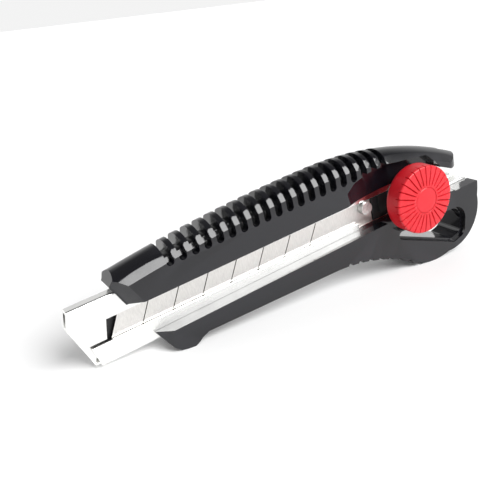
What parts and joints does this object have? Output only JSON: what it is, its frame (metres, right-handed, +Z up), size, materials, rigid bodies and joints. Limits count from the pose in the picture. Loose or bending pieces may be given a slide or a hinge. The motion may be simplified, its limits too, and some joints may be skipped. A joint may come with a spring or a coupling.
{
  "type": "snap off knife",
  "caption": "Wheel-lock snap-off utility knife: ribbed plastic grip round a folded steel channel, with a scored steel blade on a sliding carriage.",
  "frame": {"origin": "on the ground, below the middle of the knife's box", "axes": "+Z up with the knife standing on its jaw and hook, -X towards the blade's mouth, -Y towards the lock wheel"},
  "size_m": [0.151, 0.021, 0.044],
  "materials": {
    "handle": "satin moulded",
    "steel_sheet": "bright rolled sheet",
    "blade_steel": "ground",
    "pin_steel": "turned and plated",
    "liner": "matt",
    "wheel_red": "satin moulded",
    "insert_brass": "turned"
  },
  "bodies": {
    "handle": {"handle_body": "handle", "channel": "steel_sheet", "channel_liner": "liner", "channel_rivets": "pin_steel"},
    "carriage": {"blade": "blade_steel", "carrier_plate": "steel_sheet", "blade_pin": "pin_steel", "clamp_block": "liner", "lock_stud": "pin_steel", "pressure_washer": "pin_steel"},
    "spring": {"spring_washer": "pin_steel"},
    "wheel": {"wheel": "wheel_red", "wheel_insert": "insert_brass", "wheel_cap": "wheel_red"}
  },
  "joints": [
    {"name": "blade_slide", "type": "slide", "parent": "handle", "child": "carriage", "axis": [-0.9911, 0, -0.1331], "range_m": [0, 0.07]},
    {"name": "wheel_lift", "type": "slide", "parent": "carriage", "child": "spring", "axis": [0, -1, 0], "range_m": [0, 0.0006]},
    {"name": "wheel_turn", "type": "hinge", "parent": "spring", "child": "wheel", "pos_m": [0.04338, 0.00347, 0.02672], "axis": [0, -1, 0], "range_deg": [0, 270]}
  ],
  "couplings": [
    {"joint": "wheel_turn", "follows": "wheel_lift", "rad_per_m": 7854}
  ]
}
